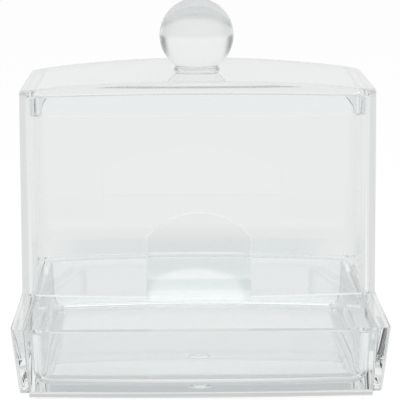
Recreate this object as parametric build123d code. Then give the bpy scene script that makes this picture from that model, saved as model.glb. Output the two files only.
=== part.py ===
from build123d import *
import os
from math import cos, radians, sin, sqrt, tan

# Cotton pad holder with drawer, all in clear moulded plastic.
# A hopper with bowed walls stands over a tapered tub. A drawer fills the tub and passes under the
# hopper's front wall, which has an arched finger notch. A crowned lid with a ball knob closes the top.
# Frame: +Z up, the front faces -Y, and the origin is on the table under the middle of the object.
# All sizes are in millimetres and degrees.

# ---- casing: hopper ----
case_width = 95.0             # across the hopper's side walls
hopper_side_depth = 60.0      # front to back along a side wall
hopper_front_bow = 4.5        # how far the front wall swells out in the middle
hopper_back_bow = 5.0         # the same for the back wall
hopper_wall = 2.5
hopper_corner_radius = 5.0    # outside corners, seen from above
rim_height = 70.4             # rim at the side walls
rim_crown = 1.3               # rise of the rim from the sides to the middle

# ---- casing: finger notch in the front wall ----
notch_width = 27.5
notch_side_height = 16.2      # straight sides, from the wall's lower edge up
notch_rise = 6.6              # height of the arch above its straight sides

# ---- casing: tub round the drawer ----
tub_height = 17.3
tub_lean = 6.6                # outer faces lean in towards the table
tub_draft = 3.0               # inner faces lean in towards the floor
tub_rim_wall = 3.5            # wall at the top edge
tub_floor = 1.5
cheek_setback = 6.3           # side cheeks' front edges behind the panel's foremost point
cheek_toe_radius = 3.0        # lower front corner of a cheek, seen from the side

# ---- drawer ----
drawer_clearance = 0.3        # to the tub's walls and floor
drawer_headroom = 0.7         # from the side and back walls to the hopper's front wall
drawer_wall = 1.5
drawer_floor = 1.5
drawer_corner_radius = 5.0    # inside corners, seen from above
drawer_cove_radius = 4.0      # floor to walls
drawer_cove_flats = 3         # the cove is made of this many narrow flats
panel_reach = 48.3            # front panel's foremost point, in front of the hopper's side walls
panel_bow = 2.2
panel_thickness = 2.5         # at the floor
panel_step = 0.7              # from the side walls' tops up to the panel's ends
panel_crown = 0.6             # rise of the panel's top edge from its ends to the middle
panel_ground_gap = 0.3
gate_radius = 2.7             # moulding gate, in a dimple under the drawer's floor
gate_depth = 0.5
gate_setback = 46.5           # gate's centre behind the panel's foremost point
gate_stub_radius = 0.8
gate_stub_height = 0.3

# ---- lid ----
lid_edge_thickness = 1.8      # plate at the side edges
lid_crown = 2.9               # rise of the plate's top from the sides to the middle
lid_seat_gap = 0.2            # between the crowned rim and the plate
lid_lip_clearance = 0.3       # between the lip and the hopper's walls
lid_lip_wall = 2.0
lid_lip_inner_radius = 2.0    # inside corners, seen from above
lid_lip_depth = 5.0           # below the rim at the side walls

# ---- knob ----
ball_radius = 10.25
ball_lift = 9.35              # ball's centre above the plate's top
neck_radius = 6.0
foot_radius = 6.35
foot_height = 0.5             # foot ring above the plate
seat_depth = 0.3              # round seat sunk in the plate for the foot

# ---- sizes that follow ----
case_half = case_width / 2
hopper_y = (panel_reach - hopper_back_bow) / 2    # centres the whole object on the origin
side_front = hopper_y - hopper_side_depth / 2
side_back = hopper_y + hopper_side_depth / 2
cheek_front = side_front - panel_reach + cheek_setback
tub_slope = tan(radians(tub_lean))
draft_slope = tan(radians(tub_draft))
tub_taper = tub_height * tub_slope                # how far the outer faces lean in, in all
tub_inner_radius = hopper_corner_radius - hopper_wall
drawer_bottom = tub_floor + drawer_clearance
floor_top = drawer_bottom + drawer_floor
drawer_top = tub_height - drawer_headroom
panel_top = drawer_top + panel_step + panel_crown
panel_end_front = side_front - panel_reach + panel_bow
lid_top = rim_height + lid_edge_thickness
cut_margin = 2.0                                  # how far a cutting solid passes the face it opens
least_radius = 0.2                                # a rounded corner stays at least this round when moved in


def bowed_edge(half_width, end, bow, inset, facing):
    """Front (facing -1) or back (facing 1) edge of an outline, moved in by inset.

    end is where it meets the straight sides, and bow is how far its middle lies beyond that.
    """
    half = half_width - inset
    if bow == 0:
        return Line((-half, end - facing * inset), (half, end - facing * inset))
    radius = (half_width**2 + bow**2) / (2 * bow)
    centre = end + facing * (bow - radius)
    corner = centre + facing * sqrt((radius - inset)**2 - half**2)
    middle = centre + facing * (radius - inset)
    return ThreePointArc((-half, corner), (0, middle), (half, corner))


def bowed_outline(z, plan, inset=0):
    """Plan outline at height z: straight sides, bowed front and back, rounded corners.

    plan is half the width, where the front and the back meet the sides, the front's and the back's
    bow, and the front's and the back's corner radius. The outline is moved in from it by inset.
    """
    half_width, front, back, bows, corners = plan
    front_edge = bowed_edge(half_width, front, bows[0], inset, -1)
    back_edge = bowed_edge(half_width, back, bows[1], inset, 1)
    outline = make_face([
        front_edge,
        Line(front_edge @ 1, back_edge @ 1),
        back_edge,
        Line(back_edge @ 0, front_edge @ 0),
    ])
    for row, radius in zip((0, -1), corners):
        if radius > 0:
            corner_points = outline.vertices().group_by(Axis.Y)[row]
            outline = fillet(corner_points, max(radius - inset, least_radius))
    return Pos(0, 0, z) * outline


def narrowed(top, depth, angle, plan, inset=0):
    """Solid from height top down by depth, whose faces lean in by angle all round."""
    lean = depth * tan(radians(angle))
    return loft([bowed_outline(top, plan, inset), bowed_outline(top - depth, plan, inset + lean)],
                ruled=True)


def crown_cylinder(half_chord, end_height, crown):
    """Everything under a surface that rises by crown from x = half_chord to the middle."""
    radius = (half_chord**2 + crown**2) / (2 * crown)
    length = 4 * (panel_reach + hopper_side_depth)
    return Pos(0, 0, end_height + crown - radius) * Rot(90, 0, 0) * Cylinder(radius, length)


# ---- casing ----
hopper_plan = (case_half, side_front, side_back, (hopper_front_bow, hopper_back_bow),
               (hopper_corner_radius, hopper_corner_radius))


def tub_inner_half(z):
    """Half the tub's clear width at height z."""
    return case_half - tub_rim_wall - (tub_height - z) * draft_slope


def tub_inner_back(z):
    """Where the tub's inner back and side faces meet at height z."""
    return side_back - tub_rim_wall - (tub_height - z) * draft_slope


def tub_inner_plan(z):
    """Plan of the tub's inside at height z, open in front of the cheeks."""
    return (tub_inner_half(z), cheek_front - panel_reach, tub_inner_back(z), (0, hopper_back_bow),
            (0, tub_inner_radius))


def panel_front(z):
    """Front of the drawer's leaning panel at its two ends, at height z."""
    return panel_end_front + (panel_top - z) * tub_slope


def make_tub():
    """Lower part of the casing: floor, back and two side cheeks, open at the front and top."""
    outer = narrowed(tub_height, tub_height + cut_margin, tub_lean, (
        case_half, cheek_front - panel_reach, side_back, (0, hopper_back_bow), (0, hopper_corner_radius)))
    side_view = make_face(Polyline(
        (cheek_front + tub_taper, 0),
        (side_back + 2 * hopper_back_bow, 0),
        (side_back + 2 * hopper_back_bow, tub_height + cut_margin),
        (cheek_front - cut_margin * tub_slope, tub_height + cut_margin),
        close=True))
    toe = side_view.vertices().group_by(Axis.Y)[0].sort_by(Axis.X)[0]
    outer = outer & extrude(Plane.YZ * fillet(toe, cheek_toe_radius), case_width, both=True)
    mouth = tub_height + cut_margin
    cavity = narrowed(mouth, mouth - tub_floor, tub_draft, tub_inner_plan(mouth))
    # The floor stops short of the drawer's panel, which hangs down in front of it.
    floor_front = panel_front(0) + panel_thickness + drawer_clearance
    bay_depth = floor_front - cheek_front + cut_margin
    bay = Pos(0, floor_front - bay_depth / 2, 0) * Box(
        2 * tub_inner_half(0), bay_depth, 2 * tub_height)
    return outer - cavity - bay


def make_hopper():
    """Upper part of the casing: four upright walls under a crowned rim, with the finger notch."""
    ring = bowed_outline(tub_height, hopper_plan) - bowed_outline(tub_height, hopper_plan, hopper_wall)
    walls = extrude(ring, rim_height + 2 * rim_crown - tub_height)
    walls = walls & crown_cylinder(case_half, rim_height, rim_crown)
    half = notch_width / 2
    sill = tub_height - cut_margin
    spring = tub_height + notch_side_height
    arch = make_face([
        Line((-half, sill), (half, sill)),
        Line((half, sill), (half, spring)),
        ThreePointArc((half, spring), (0, spring + notch_rise), (-half, spring)),
        Line((-half, spring), (-half, sill)),
    ])
    notch = extrude(Plane.XZ.offset(-hopper_y) * arch, hopper_side_depth / 2 + 2 * hopper_front_bow)
    return walls - notch


def make_casing():
    """Tub and hopper in one moulding."""
    return make_tub() + make_hopper()


# ---- drawer ----
def well_front(z):
    """Where the drawer's well meets the leaning panel's two ends at height z."""
    return panel_front(floor_top) + panel_thickness - (z - floor_top) * draft_slope


def make_block():
    """The drawer's outer shape, before it is hollowed out."""
    height = panel_top - panel_ground_gap
    block = narrowed(panel_top, height, tub_draft, tub_inner_plan(panel_top), drawer_clearance)
    block = block & narrowed(panel_top, height, tub_lean, panel_sweep(panel_top, 0))
    return block & crown_cylinder(tub_inner_half(drawer_top), drawer_top + panel_step, panel_crown)


def panel_sweep(z, setback):
    """Plan at height z of everything behind the panel's front, moved back by setback."""
    return (case_half, panel_front(z) + setback, side_back + hopper_side_depth, (panel_bow, 0), (0, 0))


def make_well():
    """The drawer's inside: it narrows towards a floor that meets the walls in a cove."""
    well_top = panel_top + cut_margin
    wall_inset = drawer_clearance + drawer_wall
    plan = (tub_inner_half(well_top) - wall_inset, well_front(well_top),
            tub_inner_back(well_top) - wall_inset,
            (panel_bow, hopper_back_bow), (drawer_corner_radius, drawer_corner_radius))
    cove_centre = floor_top + drawer_cove_radius
    centre_inset = (well_top - cove_centre) * draft_slope + drawer_cove_radius / cos(radians(tub_draft))
    outlines = [bowed_outline(well_top, plan)]
    for flat in range(drawer_cove_flats + 1):
        turn = radians(90 - tub_draft) * (1 - flat / drawer_cove_flats)
        outlines.append(bowed_outline(cove_centre - drawer_cove_radius * cos(turn), plan,
                                      centre_inset - drawer_cove_radius * sin(turn)))
    return loft(outlines, ruled=True)


def make_gate():
    """Dimple under the drawer's floor with the moulding gate's short stub in it."""
    align = (Align.CENTER, Align.CENTER, Align.MIN)
    dimple = Cylinder(gate_radius, gate_depth, align=align)
    stub = Cylinder(gate_stub_radius, gate_stub_height, align=align)
    dimple = dimple - Pos(0, 0, gate_depth - gate_stub_height) * stub
    return Pos(0, side_front - panel_reach + gate_setback, drawer_bottom) * dimple


def make_drawer():
    """Tapered tray with a bowed, leaning front panel that stands proud of the cheeks."""
    # Under the floor, only the panel reaches on down towards the table.
    below = narrowed(drawer_bottom, drawer_bottom, tub_lean, panel_sweep(drawer_bottom, panel_thickness))
    # Behind the panel, the walls are trimmed to pass under the hopper.
    trim = Pos(0, well_front(drawer_top), drawer_top) * Box(
        case_width, 2 * hopper_side_depth, panel_top, align=(Align.CENTER, Align.MIN, Align.MIN))
    return make_block() - below - make_well() - trim - make_gate()


# ---- lid ----
def make_lid():
    """Crowned plate over the rim, with a lip that drops inside the hopper and a seat for the knob."""
    plate = extrude(bowed_outline(rim_height, hopper_plan), lid_top + 2 * lid_crown - rim_height)
    plate = plate & crown_cylinder(case_half, lid_top, lid_crown)
    plate = plate - crown_cylinder(case_half, rim_height + lid_seat_gap, rim_crown)
    lip_foot = rim_height - lid_lip_depth
    outer_inset = hopper_wall + lid_lip_clearance
    inner_inset = outer_inset + lid_lip_wall
    inner_radius = inner_inset + lid_lip_inner_radius
    inner_plan = hopper_plan[:-1] + ((inner_radius, inner_radius),)
    ring = bowed_outline(lip_foot, hopper_plan, outer_inset)
    ring = ring - bowed_outline(lip_foot, inner_plan, inner_inset)
    lip = extrude(ring, rim_crown + lid_edge_thickness + lid_lip_depth)
    lip = lip & crown_cylinder(case_half, rim_height + lid_edge_thickness / 2, rim_crown)
    seat_top = lid_top + lid_crown
    seat = Pos(0, hopper_y, seat_top) * Cylinder(foot_radius, 2 * seat_depth)
    return plate + lip - seat


# ---- knob ----
def make_knob():
    """Ball on a short neck, whose foot ring sits in the lid's seat."""
    foot_z = -seat_depth
    ball_foot_z = ball_lift - sqrt(ball_radius**2 - neck_radius**2)
    profile = make_face([
        Line((0, foot_z), (foot_radius, foot_z)),
        Line((foot_radius, foot_z), (foot_radius, foot_height)),
        Line((foot_radius, foot_height), (neck_radius, foot_height)),
        Line((neck_radius, foot_height), (neck_radius, ball_foot_z)),
        ThreePointArc((neck_radius, ball_foot_z), (ball_radius, ball_lift), (0, ball_lift + ball_radius)),
        Line((0, ball_lift + ball_radius), (0, foot_z)),
    ])
    knob = revolve(Plane.XZ * profile, Axis.Z)
    return Pos(0, hopper_y, lid_top + lid_crown) * knob


# ---- files ----
pieces = {
    "casing": make_casing(),
    "drawer": make_drawer(),
    "lid": make_lid(),
    "lid_knob": make_knob(),
}
os.makedirs("parts", exist_ok=True)
for name, piece in pieces.items():
    export_step(piece, f"parts/{name}.step")
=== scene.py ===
from math import asin, cos, pi, radians, sin, sqrt, tan

import bpy
from mathutils import Matrix, Vector


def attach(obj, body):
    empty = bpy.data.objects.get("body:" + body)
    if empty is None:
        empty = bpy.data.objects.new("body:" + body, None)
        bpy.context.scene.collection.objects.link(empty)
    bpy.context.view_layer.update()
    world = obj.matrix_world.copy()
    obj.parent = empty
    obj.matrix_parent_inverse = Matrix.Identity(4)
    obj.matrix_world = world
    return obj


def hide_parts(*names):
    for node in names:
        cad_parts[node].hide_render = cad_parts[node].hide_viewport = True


# Clear plastic holder for cotton pads: a hopper over a tapered tub, a drawer in the tub, a crowned lid
# and a ball knob. The meshes repeat the solids' sizes, in millimetres, and add the small moulded roundings.

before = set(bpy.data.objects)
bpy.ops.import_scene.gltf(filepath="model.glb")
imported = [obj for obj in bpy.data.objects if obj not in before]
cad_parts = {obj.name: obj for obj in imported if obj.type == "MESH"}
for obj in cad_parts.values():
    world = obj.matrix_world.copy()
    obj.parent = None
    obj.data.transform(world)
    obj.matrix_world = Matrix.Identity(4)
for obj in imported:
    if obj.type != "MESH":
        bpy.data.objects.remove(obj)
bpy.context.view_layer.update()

MM = 0.001

# ---- sizes of the holder, in millimetres ----
CASE_HALF = 47.5
HOPPER_SIDE_DEPTH = 60.0
FRONT_BOW = 4.5
BACK_BOW = 5.0
HOPPER_WALL = 2.5
HOPPER_CORNER = 5.0
RIM_HEIGHT = 70.4
RIM_CROWN = 1.3
NOTCH_WIDTH = 27.5
NOTCH_SIDE = 16.2
NOTCH_RISE = 6.6
TUB_HEIGHT = 17.3
LEAN_DEGREES = 6.6
DRAFT_DEGREES = 3.0
TUB_LEAN = tan(radians(LEAN_DEGREES))
TUB_DRAFT = tan(radians(DRAFT_DEGREES))
TUB_RIM_WALL = 3.5
TUB_FLOOR = 1.5
CHEEK_REACH = 42.0
CHEEK_END = 1.0
CHEEK_TOE = 3.0
DRAWER_GAP = 0.3
DRAWER_TOP = 16.6
DRAWER_WALL = 1.5
DRAWER_FLOOR = 1.5
DRAWER_CORNER = 5.0
DRAWER_FILLET = 4.0
PANEL_REACH = 48.3
PANEL_BOW = 2.2
PANEL_THICKNESS = 2.5
PANEL_STEP = 0.7
PANEL_CROWN = 0.6
PANEL_FOOT = 0.3
GATE_RADIUS = 2.7
GATE_DEPTH = 0.5
GATE_SETBACK = 46.5
LID_EDGE = 1.8
LID_CROWN = 2.9
LID_GAP = 0.2
LIP_GAP = 0.3
LIP_WALL = 2.0
LIP_INNER_CORNER = 2.0
LIP_DEPTH = 5.0
BALL_RADIUS = 10.25
BALL_LIFT = 9.35
NECK_RADIUS = 6.0
FOOT_RADIUS = 6.35
FOOT_HEIGHT = 0.5
SEAT_DEPTH = 0.3

# ---- moulded roundings, which only the visual model has ----
CASING_ROUNDING = 0.25
DRAWER_ROUNDING = 0.2
LID_ROUNDING = 0.15
KNOB_ROUNDING = 0.15
LID_TOP_ROUNDING = 0.7
PANEL_CORNER = 0.8
SEAT_AIR = 0.02            # film of air under the knob, where the bond stops short of the seat
FOOT_AIR = 0.05            # and round its foot

CENTRE_Y = (PANEL_REACH - BACK_BOW) / 2
SIDE_FRONT = CENTRE_Y - HOPPER_SIDE_DEPTH / 2
SIDE_BACK = CENTRE_Y + HOPPER_SIDE_DEPTH / 2
CHEEK_FRONT = SIDE_FRONT - CHEEK_REACH
PANEL_TOP = DRAWER_TOP + PANEL_STEP + PANEL_CROWN
PANEL_ENDS = SIDE_FRONT - PANEL_REACH + PANEL_BOW
DRAWER_BOTTOM = TUB_FLOOR + DRAWER_GAP
FLOOR_TOP = DRAWER_BOTTOM + DRAWER_FLOOR
LID_TOP = RIM_HEIGHT + LID_EDGE


# ---- outlines seen from above ----
SHARP = 0.05        # corner radius that stands for a sharp corner


class Plan:
    """A plan outline: straight sides, arcs for the front and back, rounded corners."""

    def __init__(self, half, front, back, bows, corners):
        self.half = half
        front_bow = max(bows[0], 0.0001)
        self.front_radius = (half**2 + front_bow**2) / (2 * front_bow)
        self.front_middle = front - front_bow + self.front_radius
        self.back_radius = (half**2 + bows[1]**2) / (2 * bows[1])
        self.back_middle = back + bows[1] - self.back_radius
        self.front_corner, self.back_corner = corners

    def inset(self, front, sides=None, corners=None):
        """The outline moved in by sides all round, and by front at the front."""
        sides = front if sides is None else sides
        moved = Plan.__new__(Plan)
        moved.half = self.half - sides
        moved.front_radius = self.front_radius - sides
        moved.front_middle = self.front_middle + front - sides
        moved.back_radius = self.back_radius - sides
        moved.back_middle = self.back_middle
        moved.front_corner = max(self.front_corner - sides, SHARP)
        moved.back_corner = max(self.back_corner - sides, SHARP)
        if corners is not None:
            moved.front_corner, moved.back_corner = corners
        return moved

    def edge(self, x, radius, corner):
        """How far the front or back edge is from its arc's centre line, at x."""
        centre_x = self.half - corner
        centre_d = sqrt((radius - corner)**2 - centre_x**2)
        tangent_x = centre_x * radius / (radius - corner)
        if x <= tangent_x:
            return sqrt(radius**2 - x**2)
        return centre_d + sqrt(max(corner**2 - (x - centre_x)**2, 0.0))

    def front(self, x):
        return self.front_middle - self.edge(x, self.front_radius, self.front_corner)

    def back(self, x):
        return self.back_middle + self.edge(x, self.back_radius, self.back_corner)


ARC_STEPS = 44
CORNER_STEPS = 16
SIDE_STEPS = 24


def half_widths(half, corner):
    """x of the outline's points from the middle to the side, closer together round the corner."""
    start = half - corner
    xs = [start * i / ARC_STEPS for i in range(ARC_STEPS + 1)]
    return xs + [start + corner * sin(pi / 2 * i / CORNER_STEPS) for i in range(1, CORNER_STEPS + 1)]


def loop(plan, z):
    """Closed row of points round the outline; z is a height or a function of x."""
    height = z if callable(z) else (lambda x: z)
    fx = half_widths(plan.half, plan.front_corner)
    bx = half_widths(plan.half, plan.back_corner)
    front = [(x, plan.front(x)) for x in fx]
    back = [(x, plan.back(x)) for x in bx]
    y0, y1 = front[-1][1], back[-1][1]
    side = [(plan.half, y0 + (y1 - y0) * i / SIDE_STEPS) for i in range(1, SIDE_STEPS)]
    right = front + side + back[::-1]
    left = [(-x, y) for x, y in right[-2:0:-1]]
    return [(x, y, height(x)) for x, y in right + left]


def crown(half, end_height, rise):
    """Height of a surface that rises from x = half to the middle, as a function of x."""
    radius = (half**2 + rise**2) / (2 * rise)
    return lambda x: end_height + rise - radius + sqrt(radius**2 - x**2)


def stack(name, loops):
    """Closed solid between rows of points, with flat or ruled caps."""
    count = len(loops[0])
    points = [p for row in loops for p in row]
    faces = []
    for level in range(len(loops) - 1):
        a, b = level * count, (level + 1) * count
        for i in range(count):
            j = (i + 1) % count
            faces.append((a + i, a + j, b + j, b + i))
    last = ARC_STEPS + CORNER_STEPS          # index of the front corner's end
    right_back = last + SIDE_STEPS           # back corner's start on the right side
    turn = right_back + last                 # middle of the back
    for start, flip in ((0, True), ((len(loops) - 1) * count, False)):
        def cap(*ids):
            ids = [start + k % count for k in ids]
            faces.append(tuple(reversed(ids)) if flip else tuple(ids))
        for i in range(last - 1):
            cap(i, i + 1, turn - i - 1, turn - i)
        cap(last - 1, *range(last, right_back + 1), right_back + 1)
        for i in range(last - 1):
            cap(count - i - 1, count - i, turn + i, turn + i + 1)
        cap(turn + last - 1, *range(turn + last, count - last + 1), count - last + 1)
    return solid(name, points, faces)


def solid(name, points, faces):
    mesh = bpy.data.meshes.new(name)
    mesh.from_pydata([tuple(c * MM for c in p) for p in points], [], faces)
    mesh.validate()
    mesh.update()
    piece = bpy.data.objects.new(name, mesh)
    bpy.context.scene.collection.objects.link(piece)
    return piece


def box(name, low, high):
    xs, ys, zs = zip(low, high)
    points = [(x, y, z) for z in zs for y in ys for x in xs]
    faces = [(0, 2, 3, 1), (4, 5, 7, 6), (0, 1, 5, 4), (2, 6, 7, 3), (0, 4, 6, 2), (1, 3, 7, 5)]
    return solid(name, points, faces)


def turned(name, profile, steps=128, y=CENTRE_Y):
    """Solid turned about the knob's upright axis from (radius, height) points, bottom to top."""
    points = [(0, y, profile[0][1])]
    rings = [p for p in profile if p[0] > 0]
    for radius, z in rings:
        points += [(radius * cos(2 * pi * i / steps), y + radius * sin(2 * pi * i / steps), z)
                   for i in range(steps)]
    points.append((0, y, profile[-1][1]))
    faces = []
    for i in range(steps):
        j = (i + 1) % steps
        faces.append((0, 1 + j, 1 + i))
        for ring in range(len(rings) - 1):
            a = 1 + ring * steps
            b = a + steps
            faces.append((a + i, a + j, b + j, b + i))
        top = 1 + (len(rings) - 1) * steps
        faces.append((top + i, top + j, len(points) - 1))
    return solid(name, points, faces)


def combine(piece, other, operation):
    """Cuts other out of piece, or joins or keeps what they share, and removes other."""
    step = piece.modifiers.new(operation.lower(), "BOOLEAN")
    step.object = other
    step.operation = operation
    step.solver = "EXACT"
    bake(piece)
    bpy.data.meshes.remove(other.data)


def bake(piece):
    """Makes the piece's modifiers part of its mesh."""
    shaped = piece.evaluated_get(bpy.context.evaluated_depsgraph_get())
    mesh = bpy.data.meshes.new_from_object(shaped)
    piece.modifiers.clear()
    old = piece.data
    piece.data = mesh
    bpy.data.meshes.remove(old)
    mesh.name = piece.name


def crease(mesh, height):
    """Keeps the corner crisp where two nearly upright faces meet at this height."""
    upright = {}
    for face in mesh.polygons:
        if abs(face.normal.z) < 0.3:
            for key in face.edge_keys:
                upright[key] = upright.get(key, 0) + 1
    for edge in mesh.edges:
        level = all(abs(mesh.vertices[v].co.z - height * MM) < 0.01 * MM for v in edge.vertices)
        if level and upright.get(edge.key) == 2:
            edge.use_edge_sharp = True


def soften(piece, width, segments=3, angle=35, crease_height=None):
    """Rounds the moulded edges and smooths the faces between them."""
    bevel = piece.modifiers.new("edge rounding", "BEVEL")
    bevel.width = width * MM
    bevel.segments = segments
    bevel.limit_method = "ANGLE"
    bevel.angle_limit = radians(angle)
    bevel.use_clamp_overlap = False
    bevel.miter_outer = "MITER_ARC"
    bake(piece)
    piece.data.set_sharp_from_angle(angle=radians(50))
    if crease_height is not None:
        crease(piece.data, crease_height)
    for face in piece.data.polygons:
        face.use_smooth = True
    weigh = piece.modifiers.new("flat faces stay flat", "WEIGHTED_NORMAL")
    weigh.keep_sharp = True
    bake(piece)


# ---- casing ----
hopper = Plan(CASE_HALF, SIDE_FRONT, SIDE_BACK, (FRONT_BOW, BACK_BOW), (HOPPER_CORNER, HOPPER_CORNER))
tub = Plan(CASE_HALF, CHEEK_FRONT, SIDE_BACK, (0, BACK_BOW), (CHEEK_END, HOPPER_CORNER))


def tub_inner(z, front):
    """Plan of the tub's inside at height z, reaching to front."""
    lean = (TUB_HEIGHT - z) * TUB_DRAFT
    inner = Plan(CASE_HALF - TUB_RIM_WALL, front, SIDE_BACK - TUB_RIM_WALL, (0, BACK_BOW),
                 (SHARP, HOPPER_CORNER - HOPPER_WALL))
    return inner.inset(0, lean)


def panel_front(z):
    """Front of the drawer's leaning panel at its two ends, at height z."""
    return PANEL_ENDS + (PANEL_TOP - z) * TUB_LEAN


def make_casing():
    loops = []
    lean_angle = radians(LEAN_DEGREES)
    toe_y = (TUB_HEIGHT - CHEEK_TOE) * TUB_LEAN + CHEEK_TOE / cos(lean_angle)
    steps = 8
    for i in range(steps + 1):
        turn = (pi / 2 - lean_angle) * i / steps
        z = CHEEK_TOE * (1 - cos(turn))
        lean = (TUB_HEIGHT - z) * TUB_LEAN
        corners = (CHEEK_END, HOPPER_CORNER - lean)
        loops.append(loop(tub.inset(toe_y - CHEEK_TOE * sin(turn), lean, corners), z))
    loops.append(loop(tub, TUB_HEIGHT))
    casing = stack("casing_moulding", loops)
    inside_tub = TUB_HEIGHT - 1
    combine(casing, stack("hopper", [
        loop(hopper.inset(0.3), inside_tub),
        loop(hopper, TUB_HEIGHT),
        loop(hopper, crown(CASE_HALF, RIM_HEIGHT, RIM_CROWN)),
    ]), "UNION")
    combine(casing, stack("tub cavity", [
        loop(tub_inner(z, CHEEK_FRONT - 5), z) for z in (TUB_FLOOR, TUB_HEIGHT + 0.02)
    ]), "DIFFERENCE")
    combine(casing, stack("hopper cavity", [
        loop(hopper.inset(HOPPER_WALL), z) for z in (TUB_HEIGHT, RIM_HEIGHT + 5)
    ]), "DIFFERENCE")
    half = NOTCH_WIDTH / 2
    spring = TUB_HEIGHT + NOTCH_SIDE
    radius = (half**2 + NOTCH_RISE**2) / (2 * NOTCH_RISE)
    sweep = asin(half / radius)
    arch = [(-half, TUB_HEIGHT - 3), (half, TUB_HEIGHT - 3)]
    arch += [(radius * sin(a), spring + NOTCH_RISE - radius + radius * cos(a))
             for a in (sweep * (1 - i / 24) for i in range(49))]
    low, high = SIDE_FRONT - 9, SIDE_FRONT + 10
    count = len(arch)
    points = [(x, low, z) for x, z in arch] + [(x, high, z) for x, z in arch]
    faces = [tuple(range(count)), tuple(range(2 * count - 1, count - 1, -1))]
    faces += [((i + 1) % count, i, count + i, count + (i + 1) % count) for i in range(count)]
    combine(casing, solid("finger notch", points, faces), "DIFFERENCE")
    bay_back = panel_front(0) + PANEL_THICKNESS + DRAWER_GAP
    half = CASE_HALF - TUB_RIM_WALL - TUB_HEIGHT * TUB_DRAFT
    bay = box("drawer bay", (-half, CHEEK_FRONT - 2, -5), (half, bay_back, TUB_FLOOR + 3))
    combine(casing, bay, "DIFFERENCE")
    soften(casing, CASING_ROUNDING, crease_height=TUB_HEIGHT)
    for point in casing.data.vertices:      # no rounding stands out past the flat sides
        point.co.x = max(-CASE_HALF * MM, min(CASE_HALF * MM, point.co.x))
    return casing


# ---- drawer ----
def drawer_block(z):
    """Plan of the drawer's outside at height z."""
    lean = (TUB_HEIGHT - z) * TUB_DRAFT
    half = CASE_HALF - TUB_RIM_WALL - DRAWER_GAP
    plan = Plan(half, PANEL_ENDS, SIDE_BACK - TUB_RIM_WALL - DRAWER_GAP, (PANEL_BOW, BACK_BOW),
                (PANEL_CORNER, HOPPER_CORNER - HOPPER_WALL - DRAWER_GAP))
    return plan.inset((PANEL_TOP - z) * TUB_LEAN, lean, (PANEL_CORNER, max(plan.back_corner - lean, 0.5)))


def make_drawer():
    top = crown(CASE_HALF - TUB_RIM_WALL, DRAWER_TOP + PANEL_STEP, PANEL_CROWN)
    drawer = stack("drawer_tray", [
        loop(drawer_block(PANEL_FOOT), PANEL_FOOT),
        loop(drawer_block(DRAWER_TOP), DRAWER_TOP),
        loop(drawer_block(PANEL_TOP), top),
    ])
    # Under the floor only the panel reaches down.
    wide = Plan(CASE_HALF + 5, PANEL_ENDS, SIDE_BACK + 20, (PANEL_BOW, BACK_BOW), (SHARP, SHARP))
    combine(drawer, stack("under the floor", [
        loop(wide.inset((PANEL_TOP - z) * TUB_LEAN + PANEL_THICKNESS, 0), z) for z in (-2, DRAWER_BOTTOM)
    ]), "DIFFERENCE")
    well_wall = DRAWER_GAP + DRAWER_WALL
    front_at_floor = panel_front(FLOOR_TOP) + PANEL_THICKNESS
    mouth_z = PANEL_TOP + 2
    mouth = Plan(CASE_HALF - TUB_RIM_WALL + (mouth_z - TUB_HEIGHT) * TUB_DRAFT - well_wall,
                 front_at_floor - (mouth_z - FLOOR_TOP) * TUB_DRAFT,
                 SIDE_BACK - TUB_RIM_WALL + (mouth_z - TUB_HEIGHT) * TUB_DRAFT - well_wall,
                 (PANEL_BOW, BACK_BOW), (DRAWER_CORNER, DRAWER_CORNER))
    loops = []
    steps = 12
    for i in range(steps + 1):
        turn = radians(90 - DRAFT_DEGREES) * i / steps
        z = FLOOR_TOP + DRAWER_FILLET * (1 - cos(turn))
        step_in = DRAWER_FILLET * (1 / cos(radians(DRAFT_DEGREES)) - sin(turn))
        step_in += (mouth_z - FLOOR_TOP - DRAWER_FILLET) * TUB_DRAFT
        loops.append(loop(mouth.inset(step_in, step_in), z))
    loops.append(loop(mouth, mouth_z))
    combine(drawer, stack("well", loops), "DIFFERENCE")
    well_edge = front_at_floor - (DRAWER_TOP - FLOOR_TOP) * TUB_DRAFT
    combine(drawer, box("rail trim", (-50, well_edge, DRAWER_TOP), (50, 80, PANEL_TOP + 3)), "DIFFERENCE")
    gate_y = SIDE_FRONT - PANEL_REACH + GATE_SETBACK
    combine(drawer, turned("gate dimple", [
        (0, DRAWER_BOTTOM - 1), (GATE_RADIUS, DRAWER_BOTTOM - 1),
        (GATE_RADIUS, DRAWER_BOTTOM + GATE_DEPTH), (0.8, DRAWER_BOTTOM + GATE_DEPTH),
        (0.7, DRAWER_BOTTOM + 0.2), (0, DRAWER_BOTTOM + 0.2),
    ], 64, gate_y), "DIFFERENCE")
    soften(drawer, DRAWER_ROUNDING)
    return drawer


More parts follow.
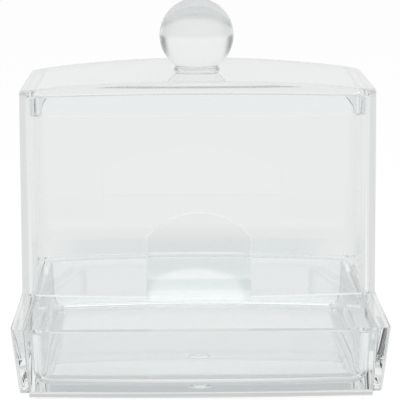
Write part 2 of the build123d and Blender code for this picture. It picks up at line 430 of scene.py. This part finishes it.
# ---- lid and knob ----
def make_lid():
    under = crown(CASE_HALF, RIM_HEIGHT + LID_GAP, RIM_CROWN)
    upper = crown(CASE_HALF, LID_TOP, LID_CROWN)
    loops = [loop(hopper, under)]
    steps = 6
    for i in range(steps + 1):
        turn = pi / 2 * i / steps
        drop, step_in = LID_TOP_ROUNDING * (1 - sin(turn)), LID_TOP_ROUNDING * (1 - cos(turn))
        loops.append(loop(hopper.inset(step_in), lambda x, d=drop: upper(x) - d))
    lid = stack("lid_plate", loops)
    inset = HOPPER_WALL + LIP_GAP
    lip = stack("lip", [loop(hopper.inset(inset), RIM_HEIGHT - LIP_DEPTH),
                        loop(hopper.inset(inset), crown(CASE_HALF, RIM_HEIGHT + 1, RIM_CROWN))])
    combine(lid, lip, "UNION")
    inner = hopper.inset(inset + LIP_WALL, None, (LIP_INNER_CORNER, LIP_INNER_CORNER))
    combine(lid, stack("lip cavity", [
        loop(inner, RIM_HEIGHT - LIP_DEPTH - 2), loop(inner, lambda x: under(x) + 0.05),
    ]), "DIFFERENCE")
    seat = LID_TOP + LID_CROWN
    combine(lid, turned("seat", [
        (0, seat - SEAT_DEPTH), (FOOT_RADIUS, seat - SEAT_DEPTH), (FOOT_RADIUS, seat + 1), (0, seat + 1),
    ]), "DIFFERENCE")
    soften(lid, LID_ROUNDING)
    return lid


def make_knob():
    foot = LID_TOP + LID_CROWN
    start = asin(NECK_RADIUS / BALL_RADIUS)
    base = foot - SEAT_DEPTH + SEAT_AIR
    profile = [(0, base), (FOOT_RADIUS - FOOT_AIR, base),
               (FOOT_RADIUS - FOOT_AIR, foot + FOOT_HEIGHT), (NECK_RADIUS, foot + FOOT_HEIGHT)]
    steps = 48
    for i in range(steps + 1):
        turn = start + (pi - start) * i / steps
        radius = BALL_RADIUS * sin(turn) if i < steps else 0
        profile.append((radius, foot + BALL_LIFT - BALL_RADIUS * cos(turn)))
    knob = turned("ball_knob", profile)
    soften(knob, KNOB_ROUNDING)
    return knob


# ---- materials ----
def linear(colour):
    """Linear colour from an sRGB hex value."""
    parts = [int(colour[i:i + 2], 16) / 255 for i in (1, 3, 5)]
    return tuple(c / 12.92 if c <= 0.04045 else ((c + 0.055) / 1.055)**2.4 for c in parts) + (1,)


def add(tree, kind, properties=None, inputs=None):
    """Adds a node, sets its properties, and gives each input its value, or a link from a socket or node."""
    node = tree.nodes.new(kind)
    for name, value in (properties or {}).items():
        setattr(node, name, value)
    for name, value in (inputs or {}).items():
        if isinstance(value, bpy.types.Node):
            value = value.outputs[0]
        if isinstance(value, bpy.types.NodeSocket):
            tree.links.new(value, node.inputs[name])
        else:
            node.inputs[name].default_value = value
    return node


def new_tree(owner):
    """Empty node tree of a material or world."""
    owner.use_nodes = True
    owner.node_tree.nodes.clear()
    return owner.node_tree


# Light that is caught inside a wall for long leaves it in the end: from this depth of its path on, it
# goes straight.
CAUGHT_DEPTH = 5.5


def clear_plastic(name, ior, roughness):
    """Clear moulded plastic: it bends and mirrors light, and casts a faint shadow."""
    material = bpy.data.materials.new(name)
    tree = new_tree(material)
    plastic = add(tree, "ShaderNodeBsdfPrincipled", {}, {
        "Base Color": linear("#fdfefe"), "Roughness": roughness, "IOR": ior, "Transmission Weight": 1.0})
    through = add(tree, "ShaderNodeBsdfTransparent", {}, {"Color": linear("#f4f5f5")})
    path = add(tree, "ShaderNodeLightPath")
    caught = add(tree, "ShaderNodeMath", {"operation": "GREATER_THAN"}, {
        0: path.outputs["Ray Depth"], 1: CAUGHT_DEPTH})
    straight = add(tree, "ShaderNodeMath", {"operation": "MAXIMUM"}, {
        0: path.outputs["Is Shadow Ray"], 1: caught})
    mix = add(tree, "ShaderNodeMixShader", {}, {0: straight, 1: plastic, 2: through})
    add(tree, "ShaderNodeOutputMaterial", {}, {"Surface": mix})
    return material


# Polystyrene from polished moulds: fully clear and glossy, so that only its edges and mirror images show.
polystyrene = clear_plastic("clear_polystyrene", 1.55, 0.0)
# Acrylic ball, turned and flame-polished: slightly satin, so that what it mirrors and bends looks soft.
acrylic = clear_plastic("clear_acrylic", 1.49, 0.2)

casing = make_casing()
drawer = make_drawer()
lid = make_lid()
knob = make_knob()
for piece, node, body, slot in ((casing, "casing", "casing", "clear_casing"),
                                (drawer, "drawer", "drawer", "clear_drawer"),
                                (lid, "lid", "lid", "clear_lid"),
                                (knob, "lid_knob", "lid", "clear_knob")):
    piece.data.materials.clear()
    piece.data.materials.append(acrylic if node == "lid_knob" else polystyrene)
    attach(piece, body)
    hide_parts(node)

# ---- table ----
# Levels are shares of white, and places are in metres. What the plastic shows of the table is mostly a glow
# with painted light and shade:
# a painted pool of light in front, a little painted light under the holder, and a painted shadow under the
# drawer's foot.
TABLE_LEVEL = 0.8
# Painted pool of light on the table in front of the holder.
PAINTED_FRONT_LIGHT = 1.14
# Painted light on the table under the holder.
PAINTED_UNDER_LIGHT = 0.1
# Painted shadow on the table under the drawer's foot.
PAINTED_FOOT_SHADOW = -0.32
CAMERA_GLOW = 0.97         # share of plain white in what the camera sees; the rest keeps the shadow
STEP = {"interpolation_type": "SMOOTHSTEP"}

table = box("table", (-2500, -2500, -20), (2500, 2500, -0.01))
# Matt laminate: white without gloss. Through the plastic it shows mostly as a glow with painted light and
# shade.
laminate = bpy.data.materials.new("matt_laminate_with_painted_light")
tree = new_tree(laminate)
place = add(tree, "ShaderNodeNewGeometry")
x, y, z = add(tree, "ShaderNodeSeparateXYZ", {}, {0: place.outputs["Position"]}).outputs
path = add(tree, "ShaderNodeLightPath")
# Painted pool of light in front.
front = add(tree, "ShaderNodeMapRange", STEP, {
    "Value": y, "From Min": -0.075, "From Max": -0.1, "To Min": TABLE_LEVEL, "To Max": PAINTED_FRONT_LIGHT})
# Painted light under the holder.
off_middle = add(tree, "ShaderNodeMath", {"operation": "ADD"}, {0: y, 1: 0.005})
off_middle = add(tree, "ShaderNodeMath", {"operation": "ABSOLUTE"}, {0: off_middle})
under = add(tree, "ShaderNodeMapRange", STEP, {
    "Value": off_middle, "From Min": 0.045, "From Max": 0.06, "To Min": PAINTED_UNDER_LIGHT, "To Max": 0.0})
# Painted shadow under the drawer's foot.
off_foot = add(tree, "ShaderNodeMath", {"operation": "ADD"}, {0: y, 1: 0.045})
off_foot = add(tree, "ShaderNodeMath", {"operation": "ABSOLUTE"}, {0: off_foot})
foot = add(tree, "ShaderNodeMapRange", STEP, {
    "Value": off_foot, "From Min": 0.003, "From Max": 0.009, "To Min": PAINTED_FOOT_SHADOW, "To Max": 0.0})
level = add(tree, "ShaderNodeMath", {"operation": "ADD"}, {0: under, 1: foot})
level = add(tree, "ShaderNodeMath", {"operation": "ADD"}, {0: front, 1: level})
matt = add(tree, "ShaderNodeBsdfDiffuse", {}, {"Color": linear("#ededed")})
white = add(tree, "ShaderNodeEmission", {}, {"Color": linear("#ffffff"), "Strength": 1.0})
# Glow with the painted light and shade, which the plastic shows in place of the lamp-lit table.
painted_glow = add(tree, "ShaderNodeEmission", {}, {"Color": linear("#ffffff"), "Strength": level})
# Only close behind the holder does the plastic show the lamp's own light and shadow on the table; elsewhere
# it shows the painted glow.
off_side = add(tree, "ShaderNodeMath", {"operation": "ABSOLUTE"}, {0: x})
across = add(tree, "ShaderNodeMapRange", STEP, {"Value": off_side, "From Min": 0.05, "From Max": 0.035})
start = add(tree, "ShaderNodeMapRange", STEP, {"Value": y, "From Min": 0.035, "From Max": 0.055})
end = add(tree, "ShaderNodeMapRange", STEP, {"Value": y, "From Min": 0.2, "From Max": 0.15})
lamp_lit = add(tree, "ShaderNodeMath", {"operation": "MULTIPLY"}, {0: start, 1: end})
lamp_lit = add(tree, "ShaderNodeMath", {"operation": "MULTIPLY"}, {0: across, 1: lamp_lit})
painted_share = add(tree, "ShaderNodeMath", {"operation": "SUBTRACT"}, {0: 1.0, 1: lamp_lit})
caught = add(tree, "ShaderNodeMath", {"operation": "GREATER_THAN"}, {
    0: path.outputs["Ray Depth"], 1: CAUGHT_DEPTH})
painted_share = add(tree, "ShaderNodeMath", {"operation": "MAXIMUM"}, {0: painted_share, 1: caught})
plastic_ray = add(tree, "ShaderNodeMath", {"operation": "MAXIMUM"}, {
    0: path.outputs["Is Glossy Ray"], 1: path.outputs["Is Transmission Ray"]})
painted_share = add(tree, "ShaderNodeMath", {"operation": "MULTIPLY"}, {0: plastic_ray, 1: painted_share})
through_plastic = add(tree, "ShaderNodeMixShader", {}, {0: painted_share, 1: matt, 2: painted_glow})
share = add(tree, "ShaderNodeMath", {"operation": "MULTIPLY"}, {
    0: path.outputs["Is Camera Ray"], 1: CAMERA_GLOW})
surface = add(tree, "ShaderNodeMixShader", {}, {0: share, 1: through_plastic, 2: white})
add(tree, "ShaderNodeOutputMaterial", {}, {"Surface": surface})
table.data.materials.append(laminate)

# ---- light ----
# What the plastic mirrors and bends: a white backdrop, dark beside it, and a wide soft box over the camera.
# Ranges are of a direction's three parts, each from -1 to 1.
BACKDROP_LEVEL = 0.88
SOFT_BOX_LEVEL = 1.14
SIDE_SHADE = -0.78
ROOM_LIGHT = 0.03          # what the room adds to the lamp's light on the table

world = bpy.data.worlds.new("studio")
bpy.context.scene.world = world
tree = new_tree(world)
direction = add(tree, "ShaderNodeTexCoord")
x, y, z = add(tree, "ShaderNodeSeparateXYZ", {}, {0: direction.outputs["Generated"]}).outputs
off_side = add(tree, "ShaderNodeMath", {"operation": "ABSOLUTE"}, {0: x})
across = add(tree, "ShaderNodeMapRange", STEP, {"Value": off_side, "From Min": 0.6, "From Max": 0.85})
low = add(tree, "ShaderNodeMapRange", STEP, {"Value": z, "From Min": 0.62, "From Max": 0.4})
back = add(tree, "ShaderNodeMapRange", STEP, {"Value": y, "From Min": -0.2, "From Max": 0.1})
beside = add(tree, "ShaderNodeMath", {"operation": "MULTIPLY"}, {0: low, 1: back})
beside = add(tree, "ShaderNodeMath", {"operation": "MULTIPLY"}, {0: across, 1: beside})
forward = add(tree, "ShaderNodeMath", {"operation": "MULTIPLY"}, {0: y, 1: -0.5})
over_camera = add(tree, "ShaderNodeMath", {"operation": "MULTIPLY_ADD"}, {0: z, 1: 0.866, 2: forward})
level = add(tree, "ShaderNodeMapRange", STEP, {
    "Value": over_camera, "From Min": 0.35, "From Max": 0.7,
    "To Min": BACKDROP_LEVEL, "To Max": SOFT_BOX_LEVEL})
level = add(tree, "ShaderNodeMath", {"operation": "MULTIPLY_ADD"}, {0: beside, 1: SIDE_SHADE, 2: level})
path = add(tree, "ShaderNodeLightPath")
plastic_ray = add(tree, "ShaderNodeMath", {"operation": "MAXIMUM"}, {
    0: path.outputs["Is Glossy Ray"], 1: path.outputs["Is Transmission Ray"]})
lit = add(tree, "ShaderNodeMix", {"data_type": "FLOAT"}, {
    "Factor": plastic_ray, "A": ROOM_LIGHT, "B": level})
shown = add(tree, "ShaderNodeMix", {"data_type": "FLOAT"}, {
    "Factor": path.outputs["Is Camera Ray"], "A": lit, "B": 1.0})
background = add(tree, "ShaderNodeBackground", {}, {"Color": linear("#ffffff"), "Strength": shown})
add(tree, "ShaderNodeOutputWorld", {}, {"Surface": background})

# The lamp stands over the camera's line, and throws the notch's shape on the table behind the holder.
lamp = bpy.data.lights.new("lamp over the camera", "POINT")
lamp.energy = 1420
lamp.shadow_soft_size = 0.03
lamp_stand = bpy.data.objects.new("lamp over the camera", lamp)
lamp_stand.visible_glossy = False
lamp_stand.visible_transmission = False
bpy.context.scene.collection.objects.link(lamp_stand)
lamp_stand.location = Vector((-6, -2600, 745)) * MM

# ---- camera ----
camera = bpy.data.cameras.new("photo camera")
camera.sensor_width = 36
camera.lens = 198.65
camera.clip_start = 0.01
viewer = bpy.data.objects.new("photo camera", camera)
bpy.context.scene.collection.objects.link(viewer)
viewer.matrix_world = (Matrix.Translation(Vector((-6.37, -588.01, 135.05)) * MM)
                       @ Matrix.Rotation(radians(-0.67), 4, "Z")
                       @ Matrix.Rotation(radians(90 - 9.02), 4, "X")
                       @ Matrix.Rotation(radians(-0.24), 4, "Z"))
bpy.context.scene.camera = viewer

bpy.context.scene.view_settings.view_transform = "Standard"
